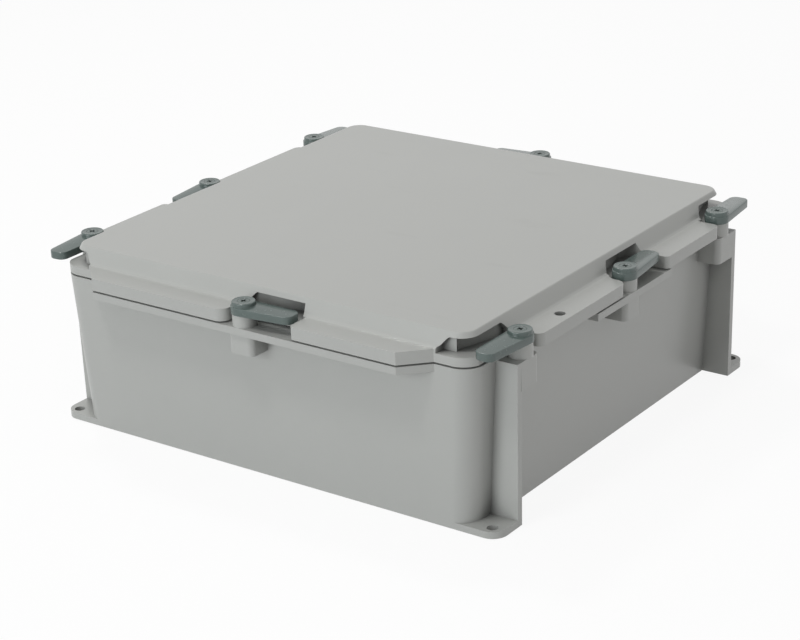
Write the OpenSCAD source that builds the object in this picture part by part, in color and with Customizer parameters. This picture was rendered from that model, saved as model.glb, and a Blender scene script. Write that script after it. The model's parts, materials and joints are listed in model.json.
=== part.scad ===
// Moulded junction box: a tub with feet, a lid with a seal, and eight turning levers that hold the lid.
// Origin at the middle of the box's underside, +Z up, front of the box towards -Y. Millimetres and degrees.

/* [Box] */
// Width of the square box across its rim
box_w = 317; // [290:0.5:340]
// Width of the box at its floor, from side to side
floor_x = 305; // [280:0.5:312]
// Width of the box at its floor, from front to back
floor_y = 310; // [285:0.5:314]
// Height of the rim above the ground
rim_h = 105.2; // [80:0.1:160]
// Radius of the box's upright corners
corner_r = 13.5; // [8:0.5:18]
// Thickness of the walls
wall = 4.5; // [3.5:0.1:6]
// Thickness of the floor
floor_t = 4; // [2.5:0.1:8]

/* [Ledges] */
// How far the ledges and the lid's flanges stand out from the rim
reach = 15.7; // [14:0.1:18]
// Thickness of the ledges under the lid
ledge_t = 4.8; // [3:0.1:7]
// Length of the front and back edges between their cut corners
front_edge = 234; // [180:1:236]
// Length of the ledge on each side
side_ledge = 90; // [60:1:130]

/* [Feet] */
// Distance from the rim line to the inner face of each fin
fin_back = 29.5; // [28:0.5:31]
// Thickness of the fins
fin_t = 4.3; // [2:0.1:5]
// How far the feet and fins stand out from the rim line
foot_out = 13.5; // [12:0.1:18]
// Thickness of the feet
foot_t = 4.5; // [3:0.1:8]
// Radius of each foot's outer corner
foot_r = 10; // [4:0.5:12]
// Diameter of the mounting holes
mount_d = 7; // [4:0.1:8]
// Distance of a mounting hole from its foot's outer side
hole_in_x = 8; // [7:0.1:10]
// Distance of a mounting hole from its foot's front or back edge
hole_in_y = 6.5; // [6:0.1:9]

/* [Lid] */
// Gap between the rim and the lid's underside
lid_gap = 1.2; // [0.3:0.1:2]
// Thickness of the flanges
flange_t = 8.1; // [7:0.1:12]
// Thickness of the lid under the levers
tab_t = 5.6; // [4.5:0.1:6.5]
// Radius of the side flanges' corners
flange_r = 5; // [1:0.5:8]
// Gap between a side flange's end and the corner levers
flange_gap = 2.1; // [2.1:0.1:4]
// Distance from the rim line to the edge of the raised top
top_in = 7; // [6:0.1:10]
// Height of the raised top above the flanges
top_h = 10; // [8:0.1:14]
// Radius of the raised top's upright corners
top_r = 10; // [6:0.5:14]
// Lean of the raised top's sides from upright
slope_lean = 30; // [5:1:36]
// Rounding of the raised top's upper edge
top_edge = 1.5; // [0.5:0.1:2]
// Radius of the hollow rounding between the raised top and the flanges
fillet_r = 5; // [1:0.1:6]
// Thickness of the lid's top plate
top_t = 4.5; // [3:0.1:6]
// Width of the solid rim round the lid's hollow
lid_rim = 20.5; // [20:0.5:30]
// Diameter of the lead-seal holes in the side flanges
lead_d = 6.8; // [3:0.1:9]
// Distance of a lead-seal hole from its flange's outer edge
lead_in = 8.2; // [6:0.1:9]
// Distance of a lead-seal hole from the middle of its side
lead_y = 75.4; // [60:0.1:90]

/* [Seal] */
// Width of the seal
seal_w = 2.2; // [1.6:0.1:2.4]
// Distance from the rim line to the seal
seal_in = 2.1; // [2:0.1:2.3]
// Depth of the seal's groove in the lid
seal_d = 2; // [1:0.1:3]

/* [Levers] */
// Distance from a flange's outer edge to the levers' pivots
pivot_in = 7.7; // [7:0.1:8.5]
// Distance from the rim line to the pivots by the corners
corner_in = 39; // [37:0.5:44]
// Length of a lever from its pivot to its tip
lever_l = 37.5; // [34:0.5:40]
// Diameter of a lever's round end
hub_d = 16.4; // [15.6:0.1:17]
// Width of a lever near its tip
tip_w = 13; // [10:0.1:15]
// Rounding of a lever's tip
tip_r = 5; // [2:0.1:5]
// Thickness of a lever's arm
arm_t = 5; // [3:0.1:6]
// Diameter of the raised disc on a lever
disc_d = 14.8; // [12:0.1:15.4]
// Height of the raised disc on a lever
disc_h = 2.6; // [2:0.1:4]
// Gap between a lever and the lid under it
lever_gap = 1; // [0.6:0.1:2]
// Room round a lever's arm in its pocket
pocket_gap = 1.4; // [0.8:0.1:1.5]
// Run of the curved end of a pocket's mouth
mouth_run = 6.5; // [4:0.1:8]
// How far a pocket's mouth starts behind its lever's pivot
mouth_back = 6.3; // [2:0.1:7]
// Height of a mouth's low end above the flanges
mouth_lift = 1; // [0.5:0.1:2]
// Depth of the mouths behind the raised top's edge
mouth_in = 1; // [0.5:0.1:2]
// Reach of the corner pockets along the front and back, from the line of the pivots
corner_reach = 32.5; // [30:0.1:33]
// Room round a lever's hub in its well
well_gap = 1.8; // [1.6:0.1:2]
// Room beyond an open lever's tip in the flange
notch_gap = 2.4; // [1:0.1:6]
// Step back of a flange's end from the well of the hub beside it
end_step = 0.3; // [0.2:0.1:1]
// Rounding of a flange's corner beside a lever's hub
hub_end_r = 7; // [2:0.1:7.5]
// Rounding of a flange's corner beyond a lever's tip
tip_end_r = 3; // [1:0.1:7]
// Room above a lever's arm in its pocket
roof_gap = 3.3; // [0.6:0.1:4]
// Diameter of the posts under the levers
post_d = 15.2; // [12:0.1:15.4]
// Gap between a post and its lever
post_gap = 0.15; // [0.05:0.05:0.4]
// Width of the bosses under the posts
boss_w = 18.8; // [16:0.1:19]
// How far the middle bosses stand out beyond their pivots
boss_out = 5.9; // [4:0.1:8]
// How far the corner bosses stand out beyond their pivots
corner_boss_out = 6.8; // [4:0.1:8]
// Rounding of the bosses' outer corners
boss_r = 4; // [1:0.1:4]
// How much lower the corner bosses reach than the middle ones
boss_extra = 1; // [0:0.5:10]
// Drop from the rim to the corner shelves
shelf_drop = 1.2; // [0:0.1:4]
// Angle of a middle lever when shut, from the edge of the lid
shut_mid = 26; // [20:1:28]
// Angle of a corner lever when shut, from the edge of the lid
shut_corner = 31; // [20:1:34]
// Angle of an open lever, from the edge of the lid
open_turn = 3; // [0:0.5:3]
// Room between the open levers and the lid as it lifts
lift_gap = 0.6; // [0.4:0.1:1]

/* [Screws] */
// Diameter of the pivot screws
screw_d = 4.8; // [3:0.1:6]
// Length of a pivot screw under its head
screw_l = 26; // [16:0.5:30]
// Diameter of a pivot screw's head
head_d = 7.5; // [6.8:0.1:9]
// Height of a pivot screw's head
head_h = 2.3; // [1.8:0.1:3]
// Width of the cross in a pivot screw's head
cross_w = 1; // [0.6:0.1:1.4]
// Plastic left below a pivot screw's end
boss_floor = 5; // [2:0.5:8]
// Running clearance of a lever on its screw, on the radius
run_gap = 0.08; // [0.02:0.01:0.1]
// Clearance of a screw in its post, on the radius
thread_gap = 0.05; // [0.02:0.01:0.2]
// Clearance round a screw's head, on the radius
head_gap = 0.1; // [0.05:0.05:0.3]
// Clearance under a screw's head
seat_gap = 0.1; // [0.05:0.05:0.3]
// Depth of a screw's head below the lever's disc
head_sink = 0.2; // [0:0.1:0.6]

/* [Hidden] */

$fn = 64;
// Overlap that joins shapes of one piece, and overshoot of the cuts
join = 0.5;
// Thickness of the slices that tapered shapes are stretched between
slice = 0.02;

light_grey = [0.70, 0.71, 0.70];
lever_grey = [0.42, 0.46, 0.45];
seal_black = [0.10, 0.10, 0.10];

half = box_w / 2;
out = half + reach;
pivot = out - pivot_in;
corner_y = half - corner_in;
hub_r = hub_d / 2;
side_half = corner_y - hub_r - flange_gap;

lid_z = rim_h + lid_gap;
flange_z = lid_z + flange_t;
tab_z = lid_z + tab_t;
top_z = flange_z + top_h;
lever_z = tab_z + lever_gap;
arm_z = lever_z + arm_t;
disc_z = arm_z + disc_h;
roof_z = arm_z + roof_gap;
post_z = lever_z - post_gap;
seat_z = disc_z - head_h - seat_gap - head_sink;
screw_end = seat_z + seat_gap - screw_l;
boss_z = min(screw_end - boss_floor, rim_h - ledge_t);
// Depth of the bosses from the pivots into the wall
boss_back = pivot - half + wall / 2;
shelf_z = rim_h - shelf_drop;

tip_x = lever_l - tip_r;
tip_y = tip_w / 2 - tip_r;
// Direction from the pivot to the middle of the tip's corner
lean = atan2(tip_y, tip_x);
// Direction of the normal to a lever's straight flank
flank = 90 + lean - asin((hub_r - tip_r) / norm([tip_x, tip_y]));
// Reach of a pocket round its pivot
sweep_r = norm([tip_x, tip_y]) + tip_r + pocket_gap;
well_r = hub_r + well_gap;

// Depth of the mouths' back from the line of the pivots
mouth_y = pivot - half + top_in + mouth_in;

foot_x = half + foot_out;
fin_y = half - fin_back;
corner_out = pivot + corner_boss_out;
mount_x = foot_x - hole_in_x;
mount_y = floor_y / 2 - hole_in_y;

// Each latch: place of its pivot, direction of its open lever, turning sense inwards, shut angle
FRONT = [[0, -pivot], 0, 1, shut_mid];
RIGHT = [[pivot, 0], 90, 1, shut_mid];
BACK = [[0, pivot], 180, 1, shut_mid];
LEFT = [[-pivot, 0], 270, 1, shut_mid];
FRONT_LEFT = [[-pivot, -corner_y], 270, 1, shut_corner];
FRONT_RIGHT = [[pivot, -corner_y], 270, -1, shut_corner];
BACK_RIGHT = [[pivot, corner_y], 90, 1, shut_corner];
BACK_LEFT = [[-pivot, corner_y], 90, -1, shut_corner];
MIDDLE = [FRONT, RIGHT, BACK, LEFT];
CORNER = [FRONT_LEFT, FRONT_RIGHT, BACK_RIGHT, BACK_LEFT];

// Puts children at a latch, with the open lever along their +X and the box on their +Y side
module at_latch(latch) {
  translate(latch[0]) rotate(latch[1]) mirror([0, latch[2] < 0 ? 1 : 0, 0]) children();
}

module rounded(x, y, r) {
  square([x, y - 2 * r], center = true);
  square([x - 2 * r, y], center = true);
  for (i = [-1, 1], j = [-1, 1]) translate([i * (x / 2 - r), j * (y / 2 - r)]) circle(r);
}

module slab(x, y, r, z, t) {
  translate([0, 0, z]) linear_extrude(t) rounded(x, y, r);
}

// Plan of the front and back edges with their corners cut at 45 degrees
module front_plan(inside) {
  cut = reach + inside;
  a = front_edge / 2;
  b = out - cut;
  for (i = [0, 1]) mirror([0, i, 0])
    polygon([[-a, -out], [a, -out], [a + cut, -b], [-a - cut, -b]]);
}

// Points along an arc from one angle to another
function arc(centre, r, from, to, steps = 16) =
  [for (i = [0:steps]) let (a = from + (to - from) * i / steps) centre + r * [cos(a), sin(a)]];

function turned(point, a) =
  [point[0] * cos(a) - point[1] * sin(a), point[0] * sin(a) + point[1] * cos(a)];

// Outline of a lever along +X from its pivot
module lever_plan() {
  polygon(concat(
    arc([0, 0], hub_r, flank, 360 - flank, 40),
    arc([tip_x, -tip_y], tip_r, -flank, 0),
    arc([tip_x, tip_y], tip_r, 0, flank)
  ));
}

// Outline of the pocket that a lever sweeps, from outside the lid to the lever's shut line
module pocket_plan(shut) {
  polygon(concat(
    [[0, -pivot_in - join], [sweep_r, -pivot_in - join]],
    arc([0, 0], sweep_r, 0, shut + lean),
    arc(turned([tip_x, tip_y], shut), tip_r + pocket_gap, shut + lean, shut + flank),
    [[mouth_run - mouth_back, mouth_y], [0, 0]]
  ));
}

// Rising end of a pocket's mouth, seen from the side it opens to, as far as the given place
module mouth_plan(start, sense, to) {
  low = flange_z + mouth_lift;
  polygon(concat(
    [[to, tab_z], [start, tab_z]],
    [for (i = [0:8]) let (t = i / 8, rise = t * t * (3 - 2 * t))
      [start + sense * mouth_run * t, low + (roof_z - low) * rise]],
    [[to, roof_z]]
  ));
}

module tub_outside() {
  hull($fn = 48) {
    slab(floor_x, floor_y, corner_r, 0, slice);
    slab(box_w, box_w, corner_r, rim_h - slice, slice);
  }
}

module tub_inside() {
  hull($fn = 48) {
    slab(floor_x - 2 * wall, floor_y - 2 * wall, corner_r - wall, floor_t, slice);
    slab(box_w - 2 * wall, box_w - 2 * wall, corner_r - wall, rim_h + join, slice);
  }
}

module ledges() {
  translate([0, 0, rim_h - ledge_t]) linear_extrude(ledge_t) {
    front_plan(wall / 2);
    for (i = [-1, 1]) translate([i * (out + half - wall / 2) / 2, 0])
      square([reach + wall / 2, side_ledge], center = true);
  }
}

// Block under a middle post, joined to the wall
module middle_boss() {
  side = boss_w / 2;
  translate([0, 0, boss_z]) linear_extrude(rim_h - ledge_t + join - boss_z) polygon(concat(
    arc([boss_r - side, boss_r - boss_out], boss_r, 180, 270),
    arc([side - boss_r, boss_r - boss_out], boss_r, 270, 360),
    [[side, boss_back], [-side, boss_back]]
  ));
}

// Block under a corner post, from the wall to the fin
module corner_boss() {
  side = boss_w / 2;
  bottom = boss_z - boss_extra;
  translate([0, 0, bottom]) linear_extrude(shelf_z - bottom) polygon(concat(
    arc([boss_r - side, boss_r - corner_boss_out], boss_r, 180, 270),
    [[fin_y - corner_y + join, -corner_boss_out], [fin_y - corner_y + join, boss_back], [-side, boss_back]]
  ));
}

module post(bottom) {
  translate([0, 0, bottom]) cylinder(d = post_d, h = post_z - bottom);
}

module post_bore() {
  translate([0, 0, screw_end - boss_floor / 4])
    cylinder(r = screw_d / 2 + thread_gap, h = post_z - screw_end + boss_floor);
}

// Fin at the back right corner, leaning out to the boss
module fin() {
  root = floor_x / 2 - wall / 2;
  translate([0, fin_y + fin_t, 0]) rotate([90, 0, 0]) linear_extrude(fin_t)
    polygon([[root, 0], [foot_x, 0], [corner_out, shelf_z], [root, shelf_z]]);
}

// Foot at the back right corner, in line with the floor's back edge
module foot() {
  root = floor_x / 2 - corner_r;
  edge = floor_y / 2;
  difference() {
    linear_extrude(foot_t) {
      translate([root, fin_y]) square([foot_x - foot_r - root, edge - fin_y]);
      translate([root, fin_y]) square([foot_x - root, edge - foot_r - fin_y]);
      translate([foot_x - foot_r, edge - foot_r]) circle(foot_r);
    }
    translate([mount_x, mount_y, -join]) cylinder(d = mount_d, h = foot_t + 2 * join);
  }
}

module box_base() {
  color(light_grey) difference() {
    union() {
      tub_outside();
      ledges();
      for (i = [0, 1], j = [0, 1]) mirror([i, 0, 0]) mirror([0, j, 0]) {
        fin();
        foot();
      }
      for (latch = MIDDLE) at_latch(latch) {
        middle_boss();
        post(rim_h - join);
      }
      for (latch = CORNER) at_latch(latch) {
        corner_boss();
        post(shelf_z - join);
      }
    }
    tub_inside();
    for (latch = concat(MIDDLE, CORNER)) at_latch(latch) post_bore();
  }
}

// Gap in a flange beside a middle lever, from the hub's side to beyond the tip
module notch_plan() {
  end = lever_l + notch_gap;
  near = well_r + end_step;
  low = -pivot_in;
  polygon(concat(
    [[-near - hub_end_r, low - join]],
    arc([-near - hub_end_r, low + hub_end_r], hub_end_r, -90, 0),
    arc([0, 0], near, 180, 90),
    [[end, near]],
    arc([end + tip_end_r, low + tip_end_r], tip_end_r, 180, 270),
    [[end + tip_end_r, low - join]]
  ));
}

module flanges() {
  difference() {
    translate([0, 0, lid_z]) linear_extrude(flange_t) {
      front_plan(wall);
      rounded(2 * out, 2 * side_half, flange_r);
    }
    for (latch = MIDDLE) at_latch(latch) translate([0, 0, lid_z - join])
      linear_extrude(flange_t + 2 * join) notch_plan();
  }
}

// What carries the raised top, a little inside the lid's own edge at the corners
module top_plan() {
  front_plan(wall);
  square([2 * out, 2 * side_half], center = true);
  rounded(box_w - 2 * end_step, box_w - 2 * end_step, corner_r - end_step);
}

// Thin square slice of the raised top, with corners that keep one centre
module top_slice(x, z) {
  slab(2 * x, 2 * x, top_r + x - half + top_in, z, slice);
}

module raised_top() {
  bend = 90 - slope_lean;
  crown_x = half - top_in - top_edge * sin(bend);
  crown_z = top_z - top_edge;
  slope_z = flange_z + fillet_r * (1 - cos(bend));
  slope_x = half - top_in + tan(slope_lean) * (crown_z + top_edge * cos(bend) - slope_z);
  side_x = slope_x + fillet_r * sin(bend);
  hull($fn = 48) {
    top_slice(slope_x, slope_z);
    for (a = [0, bend / 3, bend * 2 / 3, bend])
      top_slice(crown_x + top_edge * sin(a), crown_z + top_edge * cos(a) - slice);
  }
  for (i = [0:2]) hull($fn = 48) {
    low = bend * i / 3;
    high = bend * (i + 1) / 3;
    top_slice(side_x - fillet_r * sin(low), flange_z + fillet_r * (1 - cos(low)) - slice);
    top_slice(side_x - fillet_r * sin(high), flange_z + fillet_r * (1 - cos(high)));
  }
}

// Way through the lid past an open lever, so that the lid can lift
module lift_cut() {
  side = hub_r + lift_gap;
  end = lever_l + notch_gap;
  translate([0, 0, lid_z - join]) linear_extrude(arm_z + roof_gap / 2 - lid_z + join)
    polygon(concat(
      arc([0, 0], side, 90, 230, 24),
      [[0, -pivot_in - 2 * join], [end, -pivot_in - 2 * join], [end, side]]
    ));
}

// Pocket that a lever turns in, with a round well for its hub and a mouth in the raised top's side
module pocket(shut) {
  translate([0, 0, tab_z]) linear_extrude(roof_z - tab_z) pocket_plan(shut);
  translate([0, 0, tab_z]) cylinder(r = well_r, h = top_z - tab_z + join);
  translate([0, mouth_y, 0]) rotate([90, 0, 0]) linear_extrude(mouth_y)
    mouth_plan(-mouth_back, 1, mouth_run);
}

// Mouth of a corner pocket round the corner, in the front or back side of the raised top
module corner_mouth() {
  start = corner_in - top_in - mouth_in;
  translate([start, 0, 0]) rotate([90, 0, 90]) linear_extrude(top_in + mouth_in + join)
    mouth_plan(corner_reach, -1, -pivot_in);
}

// Ring that the seal fills, from the given height up
module seal_ring(z, t) {
  outer = box_w - 2 * seal_in;
  inner = outer - 2 * seal_w;
  difference() {
    slab(outer, outer, corner_r - seal_in, z, t);
    slab(inner, inner, corner_r - seal_in - seal_w, z - join, t + 2 * join);
  }
}

module lid() {
  hollow_w = box_w - 2 * lid_rim;
  color(light_grey) difference() {
    union() {
      flanges();
      slab(box_w, box_w, corner_r, lid_z, flange_t);
      intersection() {
        raised_top();
        translate([0, 0, lid_z]) linear_extrude(top_z - lid_z + join) top_plan();
      }
    }
    for (latch = concat(MIDDLE, CORNER)) at_latch(latch) {
      lift_cut();
      pocket(latch[3]);
    }
    for (latch = CORNER) at_latch(latch) corner_mouth();
    slab(hollow_w, hollow_w, corner_r, lid_z - join, top_z - top_t - lid_z + join);
    seal_ring(lid_z - join, seal_d + join);
    for (i = [-1, 1]) translate([i * (out - lead_in), -i * lead_y, lid_z - join])
      cylinder(d = lead_d, h = flange_t + 2 * join);
  }
}

module lid_seal() {
  color(seal_black) seal_ring(rim_h, lid_gap + seal_d);
}

module lever(latch) {
  color(lever_grey) at_latch(latch) rotate(open_turn) difference() {
    union() {
      translate([0, 0, lever_z]) linear_extrude(arm_t) lever_plan();
      translate([0, 0, arm_z - join]) cylinder(d = disc_d, h = disc_h + join);
    }
    translate([0, 0, lever_z - join]) cylinder(r = screw_d / 2 + run_gap, h = arm_t + disc_h + 2 * join);
    translate([0, 0, seat_z]) cylinder(r = head_d / 2 + head_gap, h = disc_z - seat_z + join);
  }
}

module screw(latch) {
  head_z = seat_z + seat_gap;
  cross_d = head_h * 0.6;
  color(lever_grey) at_latch(latch) difference() {
    union() {
      translate([0, 0, head_z]) cylinder(d = head_d, h = head_h);
      translate([0, 0, screw_end]) cylinder(d = screw_d, h = screw_l + join);
    }
    for (i = [0, 90]) rotate(45 + i) translate([0, 0, head_z + head_h - cross_d / 2 + join / 2])
      cube([head_d * 0.6, cross_w, cross_d + join], center = true);
  }
}

module front_lever() { lever(FRONT); }
module right_lever() { lever(RIGHT); }
module back_lever() { lever(BACK); }
module left_lever() { lever(LEFT); }
module front_left_lever() { lever(FRONT_LEFT); }
module front_right_lever() { lever(FRONT_RIGHT); }
module back_right_lever() { lever(BACK_RIGHT); }
module back_left_lever() { lever(BACK_LEFT); }

module front_screw() { screw(FRONT); }
module right_screw() { screw(RIGHT); }
module back_screw() { screw(BACK); }
module left_screw() { screw(LEFT); }
module front_left_screw() { screw(FRONT_LEFT); }
module front_right_screw() { screw(FRONT_RIGHT); }
module back_right_screw() { screw(BACK_RIGHT); }
module back_left_screw() { screw(BACK_LEFT); }

box_base();
lid();
lid_seal();
front_lever();
right_lever();
back_lever();
left_lever();
front_left_lever();
front_right_lever();
back_right_lever();
back_left_lever();
front_screw();
right_screw();
back_screw();
left_screw();
front_left_screw();
front_right_screw();
back_right_screw();
back_left_screw();
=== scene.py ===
import json
import math

import bmesh
import bpy
from mathutils import Matrix, Vector


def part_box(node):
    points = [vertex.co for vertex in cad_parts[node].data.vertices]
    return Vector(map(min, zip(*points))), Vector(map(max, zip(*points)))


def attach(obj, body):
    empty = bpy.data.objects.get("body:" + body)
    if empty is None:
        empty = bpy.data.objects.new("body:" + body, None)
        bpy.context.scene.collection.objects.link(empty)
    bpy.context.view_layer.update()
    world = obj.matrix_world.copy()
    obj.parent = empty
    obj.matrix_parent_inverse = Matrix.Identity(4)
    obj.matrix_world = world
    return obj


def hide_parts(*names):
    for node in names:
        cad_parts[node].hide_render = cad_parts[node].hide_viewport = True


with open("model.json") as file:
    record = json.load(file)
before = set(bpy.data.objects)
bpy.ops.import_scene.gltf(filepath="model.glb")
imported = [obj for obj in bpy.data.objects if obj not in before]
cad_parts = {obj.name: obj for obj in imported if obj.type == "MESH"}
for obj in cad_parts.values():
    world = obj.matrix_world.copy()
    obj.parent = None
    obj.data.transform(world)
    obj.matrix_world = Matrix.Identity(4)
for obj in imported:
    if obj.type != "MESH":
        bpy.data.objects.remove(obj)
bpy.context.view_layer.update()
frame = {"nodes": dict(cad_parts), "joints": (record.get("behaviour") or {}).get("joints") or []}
nodes = frame["nodes"]
scene = bpy.context.scene
print("frame loaded with", len(nodes), "nodes")


def srgb(r, g, b):
    def lin(v):
        v /= 255
        return v / 12.92 if v <= 0.04045 else ((v + 0.055) / 1.055) ** 2.4
    return (lin(r), lin(g), lin(b), 1)


def shaded(colour, factor):
    return tuple(v * factor for v in colour[:3]) + (1,)


# a socket that takes part in Python sums
class Wire:
    def __init__(self, tree, socket):
        self.tree = tree
        self.socket = socket

    def maths(self, operation, *values):
        return addNode(self.tree, "ShaderNodeMath", {"operation": operation}, 0, *values)

    def __add__(self, other):
        return self.maths("ADD", self, other)

    def __radd__(self, other):
        return self.maths("ADD", other, self)

    def __sub__(self, other):
        return self.maths("SUBTRACT", self, other)

    def __rsub__(self, other):
        return self.maths("SUBTRACT", other, self)

    def __mul__(self, other):
        return self.maths("MULTIPLY", self, other)

    def __rmul__(self, other):
        return self.maths("MULTIPLY", other, self)

    def most(self, other):
        return self.maths("MAXIMUM", self, other)

    def between(self, low, high):
        smooth = {"interpolation_type": "SMOOTHSTEP"}
        return addNode(self.tree, "ShaderNodeMapRange", smooth, 0, self, low, high)


def plug(tree, slot, value):
    if isinstance(value, Wire):
        tree.links.new(value.socket, slot)
    elif value is not None:
        slot.default_value = value


# any node: its settings first, then its sockets in order or by name; out picks the output
def addNode(tree, kind, settings=None, out=0, *values, **named):
    node = tree.nodes.new(kind)
    for key, value in (settings or {}).items():
        setattr(node, key, value)
    for slot, value in zip(node.inputs, values):
        plug(tree, slot, value)
    for key, value in named.items():
        plug(tree, node.inputs[key.replace("_", " ")], value)
    return Wire(tree, node.outputs[out]) if node.outputs else None


def newFinish(name):
    material = bpy.data.materials.new(name)
    material.use_nodes = True
    tree = material.node_tree
    return material, tree, tree.nodes["Principled BSDF"]


# the colour sockets of a Mix node come after its factors, numbers and vectors
def mixColour(tree, factor, a, b):
    skipped = [None] * 5
    return addNode(tree, "ShaderNodeMix", {"data_type": "RGBA"}, 2, factor, *skipped, a, b)


def objectPlace(tree):
    return addNode(tree, "ShaderNodeTexCoord", None, "Object")


def noise(tree, place, scale, detail, stretch=None):
    if stretch:
        place = addNode(tree, "ShaderNodeMapping", None, 0, place, Scale=stretch)
    return addNode(tree, "ShaderNodeTexNoise", None, 0, Vector=place, Scale=scale, Detail=detail)


# painted shade: 0 in the piece's own creases and pockets, which are painted darker by it, to 1 on its open
# faces
def paintedShadeMask(tree, reach):
    own = {"samples": 12, "only_local": True}
    sky = addNode(tree, "ShaderNodeAmbientOcclusion", own, "AO", Distance=reach)
    return sky.between(0.15, 0.68)


def roughen(tree, shader, strength, depth, height):
    bump = addNode(tree, "ShaderNodeBump", None, 0, Strength=strength, Distance=depth, Height=height)
    plug(tree, shader.inputs["Normal"], bump)


# camera solved from the pivots in the picture, 800 by 640
cameraView = {
    "place": (0.8079, -1.1098, 0.6000),
    "azimuth": 36.27,
    "elevation": 21.82,
    "roll": -2.10,
    "lens": 99.706,
    "sensor": 36,
    "clipEnd": 20,
}


def placeCamera(v):
    az, el, roll = (math.radians(v[k]) for k in ("azimuth", "elevation", "roll"))
    ahead = Vector((-math.sin(az) * math.cos(el), math.cos(az) * math.cos(el), -math.sin(el)))
    flat = Vector((math.cos(az), math.sin(az), 0))
    right = math.cos(roll) * flat + math.sin(roll) * flat.cross(ahead)
    up = right.cross(ahead)
    data = bpy.data.cameras.new("photoCamera")
    data.lens = v["lens"]
    data.sensor_width = v["sensor"]
    data.clip_end = v["clipEnd"]
    camera = bpy.data.objects.new("photoCamera", data)
    scene.collection.objects.link(camera)
    turn = Matrix((right, up, -ahead)).transposed().to_4x4()
    camera.matrix_world = Matrix.Translation(v["place"]) @ turn
    scene.camera = camera


placeCamera(cameraView)
scene.view_settings.view_transform = "Standard"
print("camera placed")

# satin moulded grey: slow clouds, fine pores, flow streaks and a few rubbed places
greyPlastic = {
    "colour": srgb(170, 171, 168), "dark": 0.8, "light": 1.2, "contrast": 2.5,
    "cloudScale": 9.0, "cloud": 0.05, "cloudRough": 0.16,
    "flowScale": 30.0, "flowStretch": (1.0, 0.25, 0.6), "flow": 0.6,
    "poreScale": 1600.0, "pores": 0.05,
    "rubScale": 55.0, "rubStretch": (0.35, 1.0, 1.0), "rubSpan": (0.62, 0.78), "rub": 0.10, "rubRise": 0.5,
    "grain": 0.0005, "grainDepth": 0.00003, "grainStrength": 0.25,
    "creaseReach": 0.025, "creaseShade": 0.30,
    "roughness": 0.32, "ior": 1.46,
}


def makeGreyPlastic(p):
    material, tree, shader = newFinish("greyPlastic")
    place = objectPlace(tree)
    cloud = noise(tree, place, p["cloudScale"], 4.0)
    flow = noise(tree, place, p["flowScale"], 3.0, p["flowStretch"])
    pores = noise(tree, place, p["poreScale"], 2.0)
    grain = noise(tree, place, 1 / p["grain"], 2.0)
    rub = noise(tree, place, p["rubScale"], 6.0, p["rubStretch"]).between(*p["rubSpan"])
    shade = (cloud - 0.5) * p["cloud"] + (flow - 0.5) * p["cloud"] * p["flow"] + (pores - 0.5) * p["pores"]
    dark, light = shaded(p["colour"], p["dark"]), shaded(p["colour"], p["light"])
    colour = mixColour(tree, 0.5 + shade * p["contrast"], dark, light)
    # painted shade: the colour is darkened in the piece's own creases and pockets
    shadeMask = paintedShadeMask(tree, p["creaseReach"])
    colour = mixColour(tree, shadeMask, shaded(p["colour"], p["creaseShade"]), colour)
    plug(tree, shader.inputs["Base Color"], colour)
    rough = p["roughness"] + (cloud - 0.5) * p["cloudRough"] + rub * p["rub"]
    plug(tree, shader.inputs["Roughness"], rough)
    roughen(tree, shader, p["grainStrength"], p["grainDepth"], grain + rub * p["rubRise"])
    shader.inputs["IOR"].default_value = p["ior"]
    return material


# semi-gloss dark grey, a little cloudy, with dull worn specks
leverPlastic = {
    "colour": srgb(86, 98, 95), "dark": 0.86, "light": 1.14,
    "cloudScale": 70.0, "cloudShade": 0.6, "cloud": 0.10,
    "wornScale": 300.0, "wornSpan": (0.55, 0.80), "dust": 0.12, "wornRough": 0.18,
    "grain": 0.0012, "grainDepth": 0.00002, "grainStrength": 0.05,
    "creaseReach": 0.004, "creaseShade": 0.35,
    "roughness": 0.19,
}


def makeLeverPlastic(p):
    material, tree, shader = newFinish("leverPlastic")
    place = objectPlace(tree)
    cloud = noise(tree, place, p["cloudScale"], 4.0)
    grain = noise(tree, place, 1 / p["grain"], 3.0)
    worn = noise(tree, place, p["wornScale"], 5.0).between(*p["wornSpan"])
    # painted shade: the colour is darkened in the lever's own creases and gaps
    shadeMask = paintedShadeMask(tree, p["creaseReach"])
    shade = 0.5 + (cloud - 0.5) * p["cloudShade"] + worn * p["dust"]
    colour = mixColour(tree, shade, shaded(p["colour"], p["dark"]), shaded(p["colour"], p["light"]))
    colour = mixColour(tree, shadeMask, shaded(p["colour"], p["creaseShade"]), colour)
    plug(tree, shader.inputs["Base Color"], colour)
    rough = p["roughness"] + (cloud - 0.5) * p["cloud"] + worn * p["wornRough"]
    plug(tree, shader.inputs["Roughness"], rough)
    roughen(tree, shader, p["grainStrength"], p["grainDepth"], grain)
    return material


# matt black, dusty in patches
sealRubber = {
    "colour": srgb(38, 39, 38), "dusty": 1.7,
    "dustScale": 420.0, "dustSpan": (0.4, 0.75), "dustRough": 0.2,
    "skinScale": 1500.0, "skinDepth": 0.00003, "skinStrength": 0.4,
    "roughness": 0.7,
}


def makeSealRubber(p):
    material, tree, shader = newFinish("sealRubber")
    place = objectPlace(tree)
    dust = noise(tree, place, p["dustScale"], 4.0).between(*p["dustSpan"])
    skin = noise(tree, place, p["skinScale"], 2.0)
    colour = mixColour(tree, dust, p["colour"], shaded(p["colour"], p["dusty"]))
    plug(tree, shader.inputs["Base Color"], colour)
    plug(tree, shader.inputs["Roughness"], p["roughness"] + dust * p["dustRough"])
    roughen(tree, shader, p["skinStrength"], p["skinDepth"], skin)
    return material


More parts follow.
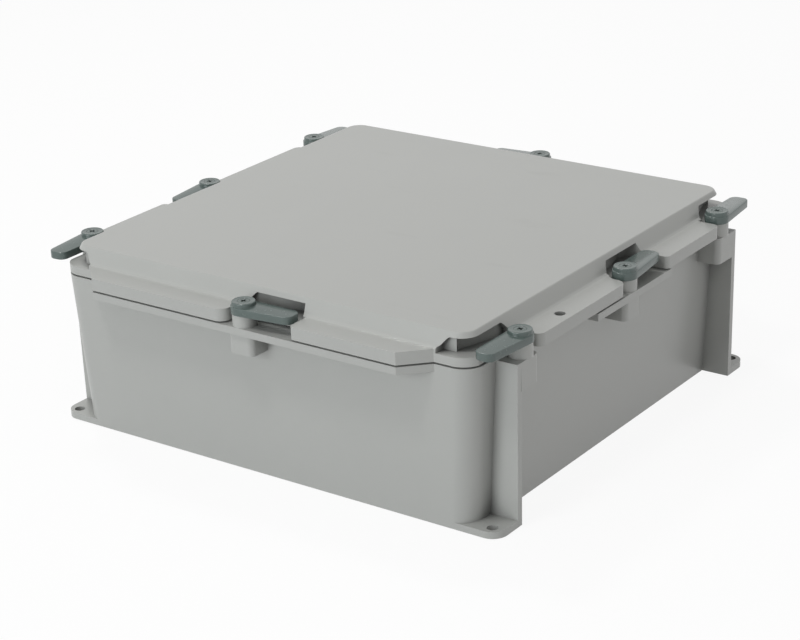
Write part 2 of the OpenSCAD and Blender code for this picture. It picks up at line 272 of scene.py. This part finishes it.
# grey coating that has worn lighter in places
screwMetal = {
    "colour": srgb(90, 101, 98), "worn": 1.2,
    "wearScale": 700.0, "wearSpan": (0.45, 0.75), "wearRough": 0.15,
    "grainScale": 2400.0, "grainDepth": 0.00002, "grainStrength": 0.3,
    "creaseReach": 0.003, "creaseShade": 0.15,
    "roughness": 0.3, "metallic": 0.15,
}


def makeScrewMetal(p):
    material, tree, shader = newFinish("screwMetal")
    place = objectPlace(tree)
    wear = noise(tree, place, p["wearScale"], 4.0).between(*p["wearSpan"])
    grain = noise(tree, place, p["grainScale"], 2.0)
    colour = mixColour(tree, wear, p["colour"], shaded(p["colour"], p["worn"]))
    # painted shade: the colour is darkened in the cross recess and the screw's own creases
    shadeMask = paintedShadeMask(tree, p["creaseReach"])
    colour = mixColour(tree, shadeMask, shaded(p["colour"], p["creaseShade"]), colour)
    plug(tree, shader.inputs["Base Color"], colour)
    plug(tree, shader.inputs["Roughness"], p["roughness"] + wear * p["wearRough"])
    roughen(tree, shader, p["grainStrength"], p["grainDepth"], grain)
    shader.inputs["Metallic"].default_value = p["metallic"]
    return material


finishes = {
    "grey_plastic": makeGreyPlastic(greyPlastic),
    "lever_plastic": makeLeverPlastic(leverPlastic),
    "seal_rubber": makeSealRubber(sealRubber),
    "screw_metal": makeScrewMetal(screwMetal),
}
print("finishes made")


def newPiece(name, data):
    piece = bpy.data.objects.new(name, data)
    scene.collection.objects.link(piece)
    return piece


def bakeModifiers(piece):
    graph = bpy.context.evaluated_depsgraph_get()
    done = bpy.data.meshes.new_from_object(piece.evaluated_get(graph))
    piece.modifiers.clear()
    piece.data = done
    return piece


# a merged copy of a moulded node, each sharp edge rounded by the width that edgeWidth gives it
def softened(node, name, finish, look, edgeWidth):
    mesh = nodes[node].data.copy()
    bm = bmesh.new()
    bm.from_mesh(mesh)
    bmesh.ops.remove_doubles(bm, verts=bm.verts, dist=look["merge"])
    bmesh.ops.dissolve_degenerate(bm, edges=bm.edges, dist=look["merge"] / 3)
    flat = math.radians(look["flatAngle"])
    bmesh.ops.dissolve_limit(bm, angle_limit=flat, verts=bm.verts, edges=bm.edges)
    weight = bm.edges.layers.float.new("bevel_weight_edge")
    sharp = math.radians(look["sharpAngle"])
    for edge in bm.edges:
        if len(edge.link_faces) == 2 and edge.calc_face_angle(0) > sharp:
            edge[weight] = edgeWidth(edge, look) / look["widest"]
    for face in bm.faces:
        face.smooth = True
        face.material_index = 0
    bm.to_mesh(mesh)
    bm.free()
    mesh.materials.clear()
    mesh.materials.append(finish)
    piece = newPiece(name, mesh)
    bevel = piece.modifiers.new("soften", "BEVEL")
    bevel.width = look["widest"]
    bevel.segments = look["segments"]
    bevel.limit_method = "WEIGHT"
    bevel.use_clamp_overlap = True
    bevel.miter_outer = "MITER_ARC"
    even = piece.modifiers.new("even", "WEIGHTED_NORMAL")
    even.weight = look["normalWeight"]
    even.keep_sharp = False
    return bakeModifiers(piece)


def level(edge, height, near=2e-5):
    return all(abs(v.co.z - height) < near for v in edge.verts)


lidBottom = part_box("lid")[0][2]

boxTub = {
    "merge": 3e-5, "flatAngle": 0.4, "sharpAngle": 20, "segments": 3, "normalWeight": 100,
    "widest": 0.0012, "edge": 0.0007, "rimEdge": 0.0003,
    "rim": lidBottom - 0.0012, "bossBottom": (0.084, 0.088),
}


def tubEdge(edge, look):
    low, high = look["bossBottom"]
    if all(low < v.co.z < high for v in edge.verts):
        return look["widest"]
    if level(edge, look["rim"]):
        return look["rimEdge"]
    return look["edge"]


tub = softened("box_base", "boxTub", finishes["grey_plastic"], boxTub, tubEdge)
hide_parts("box_base")
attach(tub, "box")
print("tub softened:", len(tub.data.polygons), "faces")

# each latch: the direction of its edge in degrees, and 1 or -1 as it turns in anticlockwise or not
latches = {
    "front": (0, 1), "right": (90, 1), "back": (180, 1), "left": (270, 1),
    "front_left": (270, 1), "front_right": (270, -1), "back_right": (90, 1), "back_left": (90, -1),
}
hinges = {joint["child"]: joint["pos_m"] for joint in frame["joints"] if joint["type"] == "hinge"}
pivots = {name: tuple(hinges[name + "_lever"][:2]) for name in latches}

lidCover = {
    "merge": 3e-5, "flatAngle": 0.4, "sharpAngle": 20, "segments": 3, "normalWeight": 100,
    "widest": 0.0022, "tabEdge": 0.0014, "edge": 0.0005, "lowEdge": 0.0002,
    "bottom": lidBottom, "tabTop": lidBottom + 0.0056, "flangeTop": lidBottom + 0.0081,
    "tabStart": 0.157, "well": 0.0108,
}


# wide on the flanges but not in the wells round the hubs, narrower on the tabs, fine elsewhere
def lidEdge(edge, look):
    middle = (edge.verts[0].co + edge.verts[1].co) / 2
    if level(edge, look["flangeTop"]):
        nearest = min(math.hypot(middle.x - x, middle.y - y) for x, y in pivots.values())
        return look["widest"] if nearest > look["well"] else look["edge"]
    if level(edge, look["tabTop"]) and max(abs(middle.x), abs(middle.y)) > look["tabStart"]:
        return look["tabEdge"]
    if level(edge, look["bottom"]):
        return look["lowEdge"]
    return look["edge"]


cover = softened("lid", "lidCover", finishes["grey_plastic"], lidCover, lidEdge)
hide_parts("lid")
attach(cover, "lid")
print("lid softened:", len(cover.data.polygons), "faces")

nodes["lid_seal"].data.materials.clear()
nodes["lid_seal"].data.materials.append(finishes["seal_rubber"])

leverLow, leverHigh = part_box("front_lever")
armTop = leverLow[2] + 0.0050

lever = {
    "bottom": leverLow[2], "top": armTop, "disc": leverHigh[2], "seat": armTop,
    "hub": 0.0082, "tipX": 0.0325, "tipY": 0.0015, "tip": 0.0050,
    "discRadius": 0.0074, "recess": 0.00385, "bore": 0.00248,
    "edge": 0.0004, "lowEdge": 0.0004, "rim": 0.0007, "foot": 0.0002, "recessEdge": 0.0001,
    "dish": 0.0002, "dishRun": 0.0011,
    "hubSteps": 48, "tipSteps": 16,
    "edgeSteps": 4, "lowSteps": 3, "footSteps": 3, "rimSteps": 5, "dishSteps": 6,
    "merge": 1e-6, "sharpAngle": 40, "openTurn": 3,
}


# sine and cosine along a quarter turn
def quarter(steps):
    angles = [math.pi / 2 * i / steps for i in range(steps + 1)]
    return [(math.sin(a), math.cos(a)) for a in angles]


# direction of the normal to the arm's straight flank
def leverFlank(l):
    lean = math.atan2(l["tipY"], l["tipX"])
    return math.pi / 2 + lean - math.asin((l["hub"] - l["tip"]) / math.hypot(l["tipX"], l["tipY"]))


def leverOutline(l, inset, z):
    flank = leverFlank(l)
    spans = (
        ((0, 0), l["hub"], flank, 2 * math.pi - flank, l["hubSteps"]),
        ((l["tipX"], -l["tipY"]), l["tip"], -flank, 0, l["tipSteps"]),
        ((l["tipX"], l["tipY"]), l["tip"], 0, flank, l["tipSteps"]),
    )
    points = []
    for (x, y), radius, start, end, steps in spans:
        r = radius - inset
        for i in range(steps + 1):
            a = start + (end - start) * i / steps
            points.append((x + r * math.cos(a), y + r * math.sin(a), z))
    return points


# rings of one outline each, joined into a closed skin from the bore's foot round to its top
def leverMesh(l):
    hubSteps, tipPoints = l["hubSteps"], 2 * (l["tipSteps"] + 1)
    flank = leverFlank(l)
    turns = [flank + (2 * math.pi - 2 * flank) * i / hubSteps for i in range(hubSteps + 1)]
    turns += [-flank + 2 * flank * i / (tipPoints + 1) for i in range(1, tipPoints + 1)]

    def circle(radius, z):
        return [(radius * math.cos(a), radius * math.sin(a), z) for a in turns]

    rings = [circle(l["bore"], l["bottom"])]
    for s, c in quarter(l["lowSteps"]):
        rings.append(leverOutline(l, l["lowEdge"] * (1 - s), l["bottom"] + l["lowEdge"] * (1 - c)))
    for s, c in quarter(l["edgeSteps"]):
        rings.append(leverOutline(l, l["edge"] * (1 - c), l["top"] - l["edge"] * (1 - s)))
    for s, c in quarter(l["footSteps"]):
        rings.append(circle(l["discRadius"] + l["foot"] * (1 - s), l["top"] + l["foot"] * (1 - c)))
    for s, c in quarter(l["rimSteps"]):
        rings.append(circle(l["discRadius"] - l["rim"] * (1 - c), l["disc"] - l["rim"] * (1 - s)))
    flatRadius, low = l["discRadius"] - l["rim"], l["disc"] - l["dish"]
    for i in range(1, l["dishSteps"] + 1):
        t = i / l["dishSteps"]
        rings.append(circle(flatRadius - l["dishRun"] * t, l["disc"] - l["dish"] * t * t * (3 - 2 * t)))
    rings.append(circle(l["recess"] + l["recessEdge"], low))
    rings.append(circle(l["recess"], low - l["recessEdge"]))
    rings.append(circle(l["recess"], l["seat"]))
    rings.append(circle(l["bore"], l["seat"]))
    count = len(turns)
    verts = [point for ring in rings for point in ring]
    faces = []
    for r in range(len(rings)):
        above = (r + 1) % len(rings)
        for i in range(count):
            j = (i + 1) % count
            faces.append((r * count + i, r * count + j, above * count + j, above * count + i))
    mesh = bpy.data.meshes.new("leverShape")
    mesh.from_pydata(verts, [], faces)
    bm = bmesh.new()
    bm.from_mesh(mesh)
    bmesh.ops.remove_doubles(bm, verts=bm.verts, dist=l["merge"])
    bmesh.ops.recalc_face_normals(bm, faces=bm.faces)
    for face in bm.faces:
        face.smooth = True
    for edge in bm.edges:
        edge.smooth = edge.calc_face_angle(0) < math.radians(l["sharpAngle"])
    bm.to_mesh(mesh)
    bm.free()
    return mesh


screwLow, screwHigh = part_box("front_screw")

screw = {
    "end": screwLow[2], "seat": screwLow[2] + 0.0260, "top": screwHigh[2],
    "shank": 0.0024, "endIn": 0.0006, "endRise": 0.0008,
    "head": 0.00375, "edge": 0.00015, "edgeSteps": 3, "dome": 0.00006, "domeAt": 0.55, "domeDrop": 0.3,
    "cross": 0.0042, "crossWidth": 0.0013, "crossDepth": 0.0018,
    "crossOver": 0.001, "crossLow": 0.75, "crossHigh": 1.1,
    "steps": 48, "merge": 1e-6, "sharpAngle": 35,
    "turn": 45, "extraTurn": 60, "seed": 4,
}


# the screw's half section, from the middle of its end up to the middle of its head
def screwProfile(s):
    profile = [(0, s["end"]), (s["shank"] - s["endIn"], s["end"]), (s["shank"], s["end"] + s["endRise"])]
    profile += [(s["shank"], s["seat"]), (s["head"], s["seat"])]
    rim = s["top"] - s["dome"]
    for sine, cosine in quarter(s["edgeSteps"]):
        profile.append((s["head"] - s["edge"] * (1 - cosine), rim - s["edge"] * (1 - sine)))
    return profile + [(s["head"] * s["domeAt"], s["top"] - s["dome"] * s["domeDrop"]), (0, s["top"])]


# a cross-shaped punch, narrower at its foot
def crossMesh(s):
    a, b = s["crossWidth"] / 2, s["cross"] / 2
    quadrant = [(b, -a), (b, a), (a, a)]
    plan = []
    for _ in range(4):
        plan += quadrant
        quadrant = [(-y, x) for x, y in quadrant]
    foot, head = s["top"] - s["crossDepth"], s["top"] + s["crossOver"]
    bm = bmesh.new()
    low = [bm.verts.new((x * s["crossLow"], y * s["crossLow"], foot)) for x, y in plan]
    high = [bm.verts.new((x * s["crossHigh"], y * s["crossHigh"], head)) for x, y in plan]
    bm.faces.new(low)
    bm.faces.new(high)
    for i in range(len(plan)):
        j = (i + 1) % len(plan)
        bm.faces.new((low[i], low[j], high[j], high[i]))
    bmesh.ops.recalc_face_normals(bm, faces=bm.faces)
    mesh = bpy.data.meshes.new("crossShape")
    bm.to_mesh(mesh)
    bm.free()
    return mesh


# a lathe-turned screw with a cross sunk in its head
def screwMesh(s):
    bm = bmesh.new()
    points = [bm.verts.new((r, 0, z)) for r, z in screwProfile(s)]
    edges = [bm.edges.new(pair) for pair in zip(points, points[1:])]
    bmesh.ops.spin(bm, geom=points + edges, cent=(0, 0, 0), axis=(0, 0, 1),
                   angle=2 * math.pi, steps=s["steps"], use_merge=True)
    bmesh.ops.remove_doubles(bm, verts=bm.verts, dist=s["merge"])
    bmesh.ops.recalc_face_normals(bm, faces=bm.faces)
    mesh = bpy.data.meshes.new("screwShape")
    bm.to_mesh(mesh)
    bm.free()
    body = newPiece("screwBlank", mesh)
    punch = newPiece("crossPunch", crossMesh(s))
    carve = body.modifiers.new("cross", "BOOLEAN")
    carve.operation = "DIFFERENCE"
    carve.solver = "EXACT"
    carve.object = punch
    done = bakeModifiers(body).data
    for face in done.polygons:
        face.use_smooth = True
    done.set_sharp_from_angle(angle=math.radians(s["sharpAngle"]))
    bpy.data.objects.remove(body)
    bpy.data.objects.remove(punch)
    return done


# node tree: one shape on every point of the piece, turned about Z by "turn" and a seeded extra
def placingTree():
    tree = bpy.data.node_groups.new("placeOnPivots", "GeometryNodeTree")
    sockets = {
        "pivots": "Geometry", "shape": "Object", "turn": "Float",
        "extraTurn": "Float", "seed": "Int", "finish": "Material",
    }
    for name, kind in sockets.items():
        tree.interface.new_socket(name, in_out="INPUT", socket_type="NodeSocket" + kind)
    tree.interface.new_socket("placed", in_out="OUTPUT", socket_type="NodeSocketGeometry")
    given = {name: addNode(tree, "NodeGroupInput", None, name) for name in sockets}
    whole = {"transform_space": "ORIGINAL"}
    item = addNode(tree, "GeometryNodeObjectInfo", whole, "Geometry", given["shape"])
    extra = addNode(tree, "FunctionNodeRandomValue", {"data_type": "FLOAT"}, 1,
                    None, None, 0.0, given["extraTurn"], Seed=given["seed"])
    rotation = addNode(tree, "ShaderNodeCombineXYZ", None, 0, 0.0, 0.0, given["turn"] + extra)
    copies = addNode(tree, "GeometryNodeInstanceOnPoints", None, 0,
                     Points=given["pivots"], Instance=item, Rotation=rotation)
    real = addNode(tree, "GeometryNodeRealizeInstances", None, 0, copies)
    painted = addNode(tree, "GeometryNodeSetMaterial", None, 0, Geometry=real, Material=given["finish"])
    addNode(tree, "NodeGroupOutput", None, 0, painted)
    return tree


pivotTree = placingTree()


def placed(name, shape, points, settings):
    mesh = bpy.data.meshes.new(name)
    mesh.from_pydata(points, [], [])
    piece = newPiece(name, mesh)
    modifier = piece.modifiers.new("place", "NODES")
    modifier.node_group = pivotTree
    values = dict(settings, shape=shape)
    for item in pivotTree.interface.items_tree:
        if item.in_out == "INPUT" and item.name in values:
            modifier[item.identifier] = values[item.name]
    return bakeModifiers(piece)


leverShape = newPiece("leverShape", leverMesh(lever))
for name, (along, inward) in latches.items():
    turn = math.radians(along + inward * lever["openTurn"])
    piece = placed(name + "Lever", leverShape, [(*pivots[name], 0)],
                   {"turn": turn, "extraTurn": 0.0, "seed": 0, "finish": finishes["lever_plastic"]})
    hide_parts(name + "_lever")
    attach(piece, name + "_lever")
bpy.data.objects.remove(leverShape)
print("levers placed:", len(latches))

screwShape = newPiece("screwShape", screwMesh(screw))
screwTurns = {
    "turn": math.radians(screw["turn"]), "extraTurn": math.radians(screw["extraTurn"]),
    "seed": screw["seed"], "finish": finishes["screw_metal"],
}
screws = placed("pivotScrews", screwShape, [(x, y, 0) for x, y in pivots.values()], screwTurns)
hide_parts(*[name + "_screw" for name in latches])
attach(screws, "box")
bpy.data.objects.remove(screwShape)
print("screws placed:", len(screws.data.polygons), "faces")

studio = {
    "lamps": {
        "keyLight": {"place": (-0.4, -2.4, 0.62), "size": 1.4, "power": 24.4, "colour": (0.96, 1.0, 1.02)},
        "topLightA": {"place": (-0.75, 0.3, 1.5), "size": 0.25, "power": 5.5, "colour": (1.0, 1.0, 0.98)},
        "rightLight": {"place": (2.0, 0.8, 0.05), "size": 1.0, "power": 4.0, "colour": (1.0, 0.99, 1.0)},
        "lowLight": {"place": (0, 0, -1.3), "size": 1.2, "power": 2.8, "colour": (1.0, 1.0, 1.0)},
        "topLightB": {"place": (0.0, -0.8, 1.65), "size": 0.25, "power": 5.4, "colour": (1.0, 1.0, 0.98)},
    },
    "aim": (0, 0, 0.06),
    "white": (1, 1, 1, 1),
    "ambient": 0.46,
    "floor": srgb(250, 250, 250),
    "floorBounce": srgb(200, 200, 200),
    "floorRoughness": 0.9,
    "floorGlow": 0.9,
    "floorReach": 6,
    "floorLevel": -0.0004,
}


# 1 where a surface is seen, straight on, in a mirror image or through another, and 0 where it only lights
def seenRay(tree):
    camera = addNode(tree, "ShaderNodeLightPath", None, "Is Camera Ray")
    glossy = addNode(tree, "ShaderNodeLightPath", None, "Is Glossy Ray")
    through = addNode(tree, "ShaderNodeLightPath", None, "Is Transmission Ray")
    return camera.most(glossy).most(through)


def lightStudio(s):
    world = bpy.data.worlds.new("studioWorld")
    scene.world = world
    world.use_nodes = True
    tree = world.node_tree
    tree.nodes.clear()
    soft = addNode(tree, "ShaderNodeBackground", None, 0, s["white"], s["ambient"])
    white = addNode(tree, "ShaderNodeBackground", None, 0, s["white"], 1.0)
    mix = addNode(tree, "ShaderNodeMixShader", None, 0, seenRay(tree), soft, white)
    addNode(tree, "ShaderNodeOutputWorld", None, 0, mix)
    aim = Vector(s["aim"])
    for name, l in s["lamps"].items():
        data = bpy.data.lights.new(name, "AREA")
        data.shape = "SQUARE"
        data.size = l["size"]
        data.energy = l["power"]
        data.color = l["colour"]
        lamp = newPiece(name, data)
        lamp.visible_camera = False
        place = Vector(l["place"])
        turn = (aim - place).to_track_quat("-Z", "Y").to_matrix().to_4x4()
        lamp.matrix_world = Matrix.Translation(place) @ turn


# pale to the camera, greyer to the light that it throws back at the box, and clear from below
def layFloor(s):
    mesh = bpy.data.meshes.new("studioFloor")
    r, z = s["floorReach"], s["floorLevel"]
    mesh.from_pydata([(-r, -r, z), (r, -r, z), (r, r, z), (-r, r, z)], [], [(0, 1, 2, 3)])
    floor = newPiece("studioFloor", mesh)
    material, tree, shader = newFinish("paleFloor")
    seen = seenRay(tree)
    plug(tree, shader.inputs["Base Color"], mixColour(tree, seen, s["floorBounce"], s["floor"]))
    shader.inputs["Roughness"].default_value = s["floorRoughness"]
    matt = Wire(tree, shader.outputs[0])
    glow = addNode(tree, "ShaderNodeEmission", None, 0, s["white"], 1.0)
    mix = addNode(tree, "ShaderNodeMixShader", None, 0, seen * s["floorGlow"], matt, glow)
    below = addNode(tree, "ShaderNodeNewGeometry", None, "Backfacing")
    clear = addNode(tree, "ShaderNodeBsdfTransparent")
    sides = addNode(tree, "ShaderNodeMixShader", None, 0, below, mix, clear)
    plug(tree, tree.nodes["Material Output"].inputs["Surface"], sides)
    mesh.materials.append(material)
    floor.visible_shadow = False


lightStudio(studio)
layFloor(studio)
print("studio lit")
